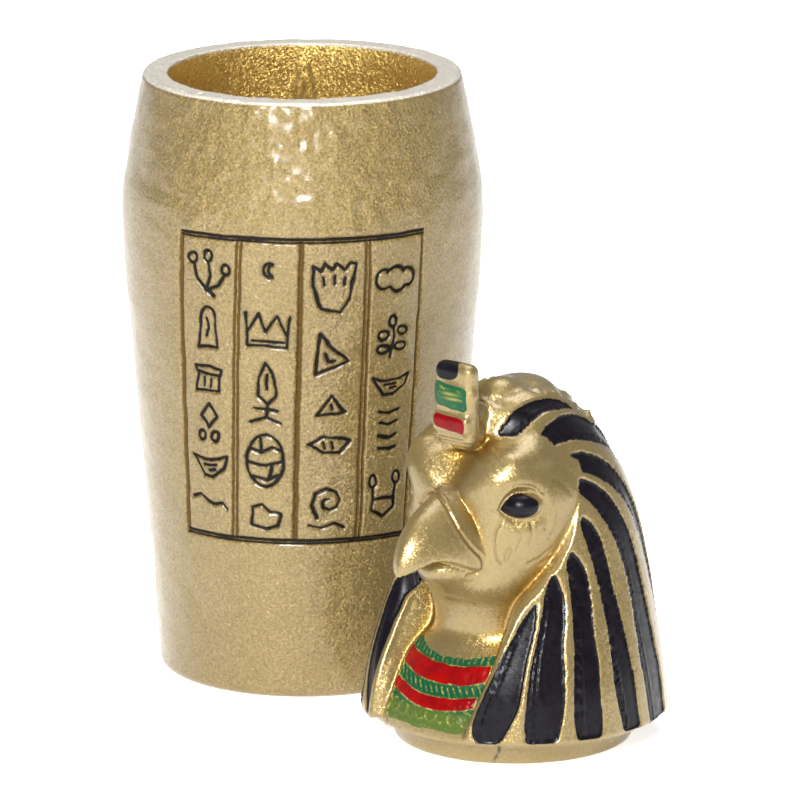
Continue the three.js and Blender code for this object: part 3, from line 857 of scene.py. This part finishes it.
def lid_mesh():
    """The lid's mesh, its points and normals, and how deep in a hollow each point lies."""
    low, volume = lid_volume()
    grid = openvdb.FloatGrid(3.0)
    grid.copyFromArray(np.ascontiguousarray(volume, dtype=np.float32))
    cells, quads = grid.convertToQuads()
    mesh = new_mesh("lid_casting", cells * VOXEL + low, quads[:, ::-1].astype(int))
    side, fore, z = read_points(mesh)[0].T
    refine(mesh, (fore > 8) & (z > 29) & (z < 46) & (np.abs(side) < 14))
    points, normals = read_points(mesh)
    if np.sum(normals * (points - points.mean(axis=0))) < 0:
        mesh.flip_normals()
        normals = -normals
    return mesh, points, normals, -read_volume(box_blur(volume, 5), (points - low) / VOXEL)


def face_values(points, near_face):
    """Distances from the scratched lines, the line round the beak and the eyelids, and into the eyes."""
    front = points[near_face]
    lines, lids = (
        np.min([path_reach(path, *front.T) for path in on_surface(paths, front)], axis=0)
        for paths in (SCRATCHES, [EYE_LID])
    )
    cere = path_reach(on_surface([CERE], front)[0], *front.T)
    values = np.repeat([[FAR], [FAR], [FAR], [-FAR]], len(points), axis=1)
    values[:, near_face] = lines, cere, lids, eye_distance(front, EYE)
    return values


def cloth_relief(points, is_cloth, crown, stripe, across, t):
    """Stripes sink in, pleats run along them, and the front edges and the lumps of the crown stand out."""
    side, fore, z = points.T
    sunk = PAINT_SINK * smooth((stripe + 0.2) / 0.5)
    pleats = bell((across - 0.16) / 0.05) + bell((across - 0.3) / 0.05) - 0.7 * bell((across - 0.23) / 0.04)
    pleats = 0.26 * pleats * smooth(stripe / 0.4) * (0.4 + 0.6 * (t < 0.42))
    edge = np.minimum(np.abs(opening_distance(side, fore, z)), 3) * is_cloth + 3 * (1 - is_cloth)
    left_edge = 0.22 * bell((edge - 0.7) / 0.4) * (side > 0)
    right_edge = 0.3 * bell((right_paint(points) + 0.6) / 0.45) * smooth((23 - z) / 3) * (side < 0)
    lumps = 0.5 * noise(points, 1.6, 13) + 0.45 * np.maximum(noise(points, 0.8, 14), 0)
    return pleats - sunk + (left_edge + right_edge + crown * lumps) * is_cloth


def face_relief(z, lines, cere, lids, eye):
    """Lines are scratched in, and the eyelids and the rim of the beak stand out."""
    scratched = 0.17 * bell(lines / 0.2) * smooth((z - 29) / 2) + 0.2 * bell(cere / 0.26)
    raised = 0.07 * bell((cere - 0.5) / 0.3) + 0.2 * bell(lids / 0.28)
    return raised - 0.2 * bell((eye + 0.1) / 0.2) - scratched


def to_table(points):
    """Lid points turned and moved to where the lid stands."""
    c, s = math.cos(LID_TURN), math.sin(LID_TURN)
    side, fore, z = points.T
    return np.stack([c * side + s * fore, s * side - c * fore, z], axis=-1) + np.array(LID_PLACE)


def make_lid(material):
    mesh, points, normals, cavity = lid_mesh()
    side, fore, z = points.T
    cloth, head, cobra = (shape(side, fore, z) for shape in (cloth_distance, head_distance, cobra_distance))
    is_cobra = smooth(1 - cobra / 0.25)
    is_cloth = smooth(1 - cloth / 0.3) * (1 - is_cobra) * smooth((head + 0.5) / 0.3)
    on_chest = smooth(1 - head / 0.3) * smooth((cloth - 0.1) / 0.3) * smooth(20 - z) * (fore > 3)
    stripe, across, t, v = stripe_values(points)
    crown_edge = 0.945 - 0.3 * np.minimum(v, 0.3)
    crown = smooth((t - crown_edge) / 0.03) * smooth((0.5 - v) / 0.1) * smooth((z - 48) / 2)
    stripe = np.where(is_cloth > 0.5, stripe, -2) - 6 * crown
    green, red, collar = collar_values(points, on_chest)
    cobra_black, cobra_green, cobra_red, scratches = cobra_values(points, is_cobra)
    lines, cere, lids, eye = face_values(points, (fore > 2) & (z > 27) & (z < 47))
    folds = ripple(z, 0.9) * smooth((50.6 - z) / 0.3) * smooth((z - 47.6) / 0.3) * (fore > 13.5)
    crack = bell(path_reach(CRACK, np.arctan2(side, fore) * PLUG["radius"], z) / 0.14)
    crack = crack * (cloth > 0.3) * (np.hypot(side, fore) > 17)

    push = 0.04 * noise(points, 5, 11) + 0.008 * noise(points, 1.1, 12) + collar - 0.25 * crack
    push += cloth_relief(points, is_cloth, crown, stripe, across, t)
    push += face_relief(z, lines, cere, lids, eye)
    push += is_cobra * (0.14 * folds - 0.1 * scratches)
    points = points + normals * push[:, None]
    points[:, 2] = np.maximum(points[:, 2], 0)
    values = {
        "black": np.maximum(np.maximum(stripe, cobra_black), eye),
        "green": np.maximum(green, cobra_green),
        "red": np.maximum(red, cobra_red),
        "relief": collar,
        "cavity": cavity,
        "crown": crown * is_cloth,
        "scratches": scratches,
        "lines": 0.8 * bell(lines / 0.22) + bell(cere / 0.3),
        "crack": crack,
        "aged": smooth((8.8 - z) / 1.4),
    }
    casting(mesh, to_table(points), values, "lid_gold", material, "falcon_head_lid")


# ---- materials ----

class Paints:
    """A material made by laying paints over each other, each where its mask is."""

    def __init__(self, name):
        self.material = bpy.data.materials.new(name)
        self.material.use_nodes = True
        self.nodes = self.material.node_tree.nodes
        self.links = self.material.node_tree.links
        self.shader = self.nodes["Principled BSDF"]
        self.shader.inputs["Specular IOR Level"].default_value = 0.15
        self.shader.inputs["Coat Roughness"].default_value = 0.25
        self.place = self.nodes.new("ShaderNodeTexCoord").outputs["Object"]
        self.colour = self.metal = self.roughness = None

    def node(self, kind, inputs, **settings):
        """A node with its settings made and its inputs set or linked, by name or number."""
        node = self.nodes.new("ShaderNode" + kind)
        for key, value in settings.items():
            setattr(node, key, value)
        for key, value in inputs.items():
            if isinstance(value, bpy.types.NodeSocket):
                self.links.new(value, node.inputs[key])
            else:
                node.inputs[key].default_value = value
        return node

    def math(self, operation, *values):
        return self.node("Math", dict(enumerate(values)), operation=operation).outputs[0]

    def times(self, a, b):
        return self.math("MULTIPLY", a, b)

    def mask(self, name):
        return self.node("Attribute", {}, attribute_name=name).outputs["Fac"]

    def span(self, value, low, high, to_low=0.0, to_high=1.0):
        """The value stretched so that low to high becomes to_low to to_high."""
        inputs = {"Value": value, "From Min": low, "From Max": high, "To Min": to_low, "To Max": to_high}
        return self.node("MapRange", inputs).outputs["Result"]

    def noise(self, scale, detail=2.0, roughness=0.5):
        inputs = {"Vector": self.place, "Scale": scale, "Detail": detail, "Roughness": roughness}
        return self.node("TexNoise", inputs).outputs["Fac"]

    def inside(self, distance):
        """1 where the distance is positive and 0 where it is negative, with a crisp edge."""
        return self.span(distance, -0.05, 0.05)

    def ragged(self, mask, scale, amount, shift):
        """The mask lowered by shift and raised by noise of this scale and amount."""
        return self.math("MULTIPLY_ADD", self.noise(scale), amount, self.math("SUBTRACT", mask, shift))

    def blend(self, factor, below, above, kind="RGBA"):
        a, b, out = {"RGBA": (6, 7, 2), "FLOAT": (2, 3, 0)}[kind]
        return self.node("Mix", {0: factor, a: below, b: above}, data_type=kind).outputs[out]

    def coat(self, mask, colour, metal, roughness):
        """Lay a paint of this colour, metalness and roughness over what is there."""
        if self.colour is None:
            self.colour, self.metal, self.roughness = colour, metal, roughness
            return
        self.colour = self.blend(mask, self.colour, colour)
        self.metal = self.blend(mask, self.metal, metal, "FLOAT")
        self.roughness = self.blend(mask, self.roughness, roughness, "FLOAT")

    def finish(self, normal, painted):
        """The finished material, with a clear coat that is thinner where it is painted."""
        sockets = {
            "Base Color": self.colour, "Metallic": self.metal, "Roughness": self.roughness, "Normal": normal,
            "Coat Weight": self.span(painted, -0.05, 0.05, 0.85, 0.08),
        }
        for name, value in sockets.items():
            self.links.new(value, self.shader.inputs[name])
        return self.material


GOLD_LIGHT = (0.315, 0.236, 0.1, 1)
GOLD_MIDDLE = (0.28, 0.205, 0.078, 1)
GOLD_DEEP = (0.19, 0.128, 0.04, 1)
GOLD_INSIDE_PAINTED_LIGHT = (0.95, 0.67, 0.2, 1)
GOLD_HOLLOW_SHADE = (0.36, 0.215, 0.035, 1)
GOLD_LINE = (0.2, 0.11, 0.025, 1)
GOLD_DULL = (0.4, 0.34, 0.22, 1)
RIM_PAINTED_HIGHLIGHT = (0.78, 0.74, 0.66, 1)
BROWN = (0.085, 0.045, 0.006, 1)
INK = (0.006, 0.004, 0.002, 1)
BLACK = (0.004, 0.003, 0.005, 1)
BLACK_DUSTY = (0.007, 0.006, 0.009, 1)
GREEN = (0.014, 0.11, 0.035, 1)
GREEN_SHADE_AND_MOTTLE = (0.006, 0.055, 0.022, 1)
RED = (0.27, 0.001, 0.001, 1)
RED_SHADE_AND_MOTTLE = (0.12, 0.0005, 0.002, 1)
OLIVE = (0.13, 0.15, 0.015, 1)
STRAW = (0.42, 0.36, 0.08, 1)


def metallic_paint(paints, grain, flake_scale, speckle):
    """Lay gold paint, this rough and with this much dark speckle, and give a random colour for each flake."""
    flakes = paints.node("TexVoronoi", {"Vector": paints.place, "Scale": flake_scale}).outputs["Color"]
    clouds = paints.noise(130.0, 3.0)
    specks = paints.noise(2600.0, 1.0)
    colour = paints.blend(paints.span(clouds, 0.3, 0.7), GOLD_LIGHT, GOLD_MIDDLE)
    colour = paints.blend(paints.span(specks, 0.4, 0.62, 0.0, speckle), colour, GOLD_DEEP)
    roughness = paints.span(paints.noise(900.0), 0.3, 0.7, grain, grain + 0.12)
    paints.coat(None, colour, paints.span(specks, 0.2, 0.8, 0.74, 0.6), roughness)
    return flakes


def flaked_normal(paints, flakes, tilt, bump, distance):
    """The surface normal tilted at random in each flake, over a bump."""
    def vector(operation, inputs):
        return paints.node("VectorMath", inputs, operation=operation).outputs[0]

    centred = vector("SUBTRACT", {0: flakes, 1: (0.5, 0.5, 0.5)})
    scaled = vector("SCALE", {0: centred, "Scale": tilt})
    raised = paints.node("Bump", {"Height": bump, "Distance": distance}).outputs["Normal"]
    return vector("NORMALIZE", {0: vector("ADD", {0: raised, 1: scaled})})


def jar_material():
    paints = Paints("jar_gold")
    flakes = metallic_paint(paints, grain=0.4, flake_scale=3700.0, speckle=0.6)
    # painted light: the inside gets a much brighter gold than the outside, standing in for light falling into
    # the jar
    paints.coat(paints.times(paints.mask("inner"), 0.75), GOLD_INSIDE_PAINTED_LIGHT, 0.95, 0.42)
    # painted highlight: the rim is painted a pale, nearly white colour
    paints.coat(paints.times(paints.mask("rim"), 0.75), RIM_PAINTED_HIGHLIGHT, 0.25, 0.5)
    paints.coat(paints.times(paints.mask("tent"), 0.65), BROWN, 0.3, 0.5)
    uprights, levels, ink = (paints.mask(name) for name in ("uprights", "levels", "ink"))
    # brown wash lies in the grooves and thins out round them
    wash = paints.ragged(paints.math("MAXIMUM", uprights, levels), 1500.0, 0.5, 0.25)
    paints.coat(paints.span(wash, 0.12, 0.55, 0.0, 0.95), BROWN, 0.25, 0.5)
    paints.coat(paints.span(paints.ragged(levels, 900.0, 0.5, 0.25), 0.35, 0.6), INK, 0.0, 0.45)
    paints.coat(paints.span(ink, -0.5, 0.1, 0.0, 0.35), BROWN, 0.4, 0.5)
    paints.coat(paints.span(paints.ragged(ink, 1300.0, 0.16, 0.1), -0.06, 0.05), INK, 0.0, 0.35)
    grain = paints.math("ADD", paints.noise(1900.0, 3.0, 0.7), paints.times(paints.noise(420.0), 0.6))
    painted = paints.math("MAXIMUM", ink, paints.math("SUBTRACT", wash, 0.3))
    return paints.finish(flaked_normal(paints, flakes, 0.58, grain, 0.0003), painted)


def lid_material():
    paints = Paints("lid_gold")
    flakes = metallic_paint(paints, grain=0.34, flake_scale=4600.0, speckle=0.25)
    # painted shade: the gold turns darker and browner the deeper a point lies in a hollow
    paints.coat(paints.span(paints.mask("cavity"), 0.1, 0.8, 0.0, 0.85), GOLD_HOLLOW_SHADE, 0.95, 0.38)
    paints.coat(paints.times(paints.mask("lines"), 0.5), GOLD_LINE, 0.7, 0.45)
    paints.coat(paints.times(paints.mask("crown"), 0.25), GOLD_DULL, 0.7, 0.55)
    black, green, red, relief = (paints.mask(name) for name in ("black", "green", "red", "relief"))
    # painted shade and highlight: the collar's green and red are darker where its relief is low and lighter
    # where it stands out, and uneven adds random mottling to this
    shade = paints.span(relief, -0.12, 0.2)
    worn = paints.math("MULTIPLY_ADD", paints.noise(1800.0), 0.3, relief)
    uneven = paints.times(shade, paints.span(paints.noise(420.0, 3.0), 0.35, 0.65, 0.35, 1.0))
    # the green is aged towards the hem, and worn where it stands out
    greens = paints.blend(uneven, GREEN_SHADE_AND_MOTTLE, GREEN)
    greens = paints.blend(paints.times(paints.mask("aged"), 0.5), greens, OLIVE)
    greens = paints.blend(paints.span(worn, 0.2, 0.3, 0.0, 0.7), greens, STRAW)
    paints.coat(paints.inside(green), greens, 0.0, 0.36)
    paints.coat(paints.inside(red), paints.blend(uneven, RED_SHADE_AND_MOTTLE, RED), 0.0, 0.3)
    paints.coat(paints.times(paints.mask("scratches"), 0.6), STRAW, 0.4, 0.4)
    dusty = paints.blend(paints.span(paints.noise(500.0, 4.0), 0.4, 0.75), BLACK, BLACK_DUSTY)
    gloss = paints.span(paints.noise(800.0), 0.3, 0.7, 0.22, 0.4)
    paints.coat(paints.inside(black), dusty, 0.0, gloss)
    paints.coat(paints.mask("crack"), INK, 0.0, 0.5)
    grain = paints.math("ADD", paints.noise(1500.0, 3.0, 0.6), paints.times(paints.noise(500.0), 0.6))
    # paint fills the grain and hides the flakes
    grain = paints.times(grain, paints.span(black, -0.05, 0.05, 1.0, 0.25))
    painted = paints.math("MAXIMUM", black, paints.math("MAXIMUM", green, red))
    tilt = paints.span(painted, -0.05, 0.05, 0.27, 0.05)
    return paints.finish(flaked_normal(paints, flakes, tilt, grain, 0.00005), painted)


# ---- stage, light and camera ----

def make_stage():
    bpy.ops.mesh.primitive_plane_add(size=6)
    floor = bpy.context.object
    floor.name = "floor"
    material = bpy.data.materials.new("floor_white")
    material.use_nodes = True
    shader = material.node_tree.nodes["Principled BSDF"]
    shader.inputs["Base Color"].default_value = (0.9, 0.9, 0.9, 1)
    shader.inputs["Roughness"].default_value = 0.9
    shader.inputs["Emission Color"].default_value = (1, 1, 1, 1)
    shader.inputs["Emission Strength"].default_value = FLOOR_GLOW
    floor.data.materials.append(material)


def area_light(name, place, target, size, power):
    light = bpy.data.lights.new(name, "AREA")
    light.shape = "RECTANGLE"
    light.size, light.size_y = size
    light.energy = power
    lamp = bpy.data.objects.new(name, light)
    lamp.location = place
    lamp.rotation_euler = (Vector(target) - Vector(place)).to_track_quat("-Z", "Y").to_euler()
    bpy.context.scene.collection.objects.link(lamp)


def make_light():
    """A white room, darker towards the camera, with a soft box above in front and one overhead."""
    world = bpy.data.worlds.new("studio")
    world.use_nodes = True
    nodes, links = world.node_tree.nodes, world.node_tree.links
    along = nodes.new("ShaderNodeVectorMath")
    along.operation = "DOT_PRODUCT"
    along.inputs[1].default_value = (-0.05, 0.95, 0.1)
    links.new(nodes.new("ShaderNodeTexCoord").outputs["Generated"], along.inputs[0])
    ramp = nodes.new("ShaderNodeMapRange")
    ramp.interpolation_type = "SMOOTHSTEP"
    for name, value in ROOM.items():
        ramp.inputs[name].default_value = value
    links.new(along.outputs["Value"], ramp.inputs["Value"])
    links.new(ramp.outputs["Result"], nodes["Background"].inputs["Strength"])
    nodes["Background"].inputs["Color"].default_value = (1, 1, 1, 1)
    bpy.context.scene.world = world
    for name, settings in SOFT_BOXES.items():
        area_light(name, *settings)


def make_camera():
    pitch = CAMERA["pitch"]
    target = Vector(CAMERA["target"]) * MM
    camera = bpy.data.cameras.new("camera")
    camera.sensor_width = 36
    camera.lens = CAMERA["lens"]
    camera.clip_end = 20
    view = bpy.data.objects.new("camera", camera)
    view.location = target - CAMERA["distance"] * Vector((0, math.cos(pitch), -math.sin(pitch)))
    view.rotation_euler = (math.pi / 2 - pitch, 0, 0)
    bpy.context.scene.collection.objects.link(view)
    bpy.context.scene.camera = view
    bpy.context.scene.view_settings.view_transform = "Standard"


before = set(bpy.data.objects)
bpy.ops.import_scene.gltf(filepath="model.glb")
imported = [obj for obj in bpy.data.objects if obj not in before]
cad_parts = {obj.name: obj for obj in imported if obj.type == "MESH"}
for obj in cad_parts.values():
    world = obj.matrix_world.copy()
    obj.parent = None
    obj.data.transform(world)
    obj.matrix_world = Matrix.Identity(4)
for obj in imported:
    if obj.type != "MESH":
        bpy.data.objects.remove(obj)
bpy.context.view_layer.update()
make_jar(jar_material())
make_lid(lid_material())
make_stage()
make_light()
make_camera()
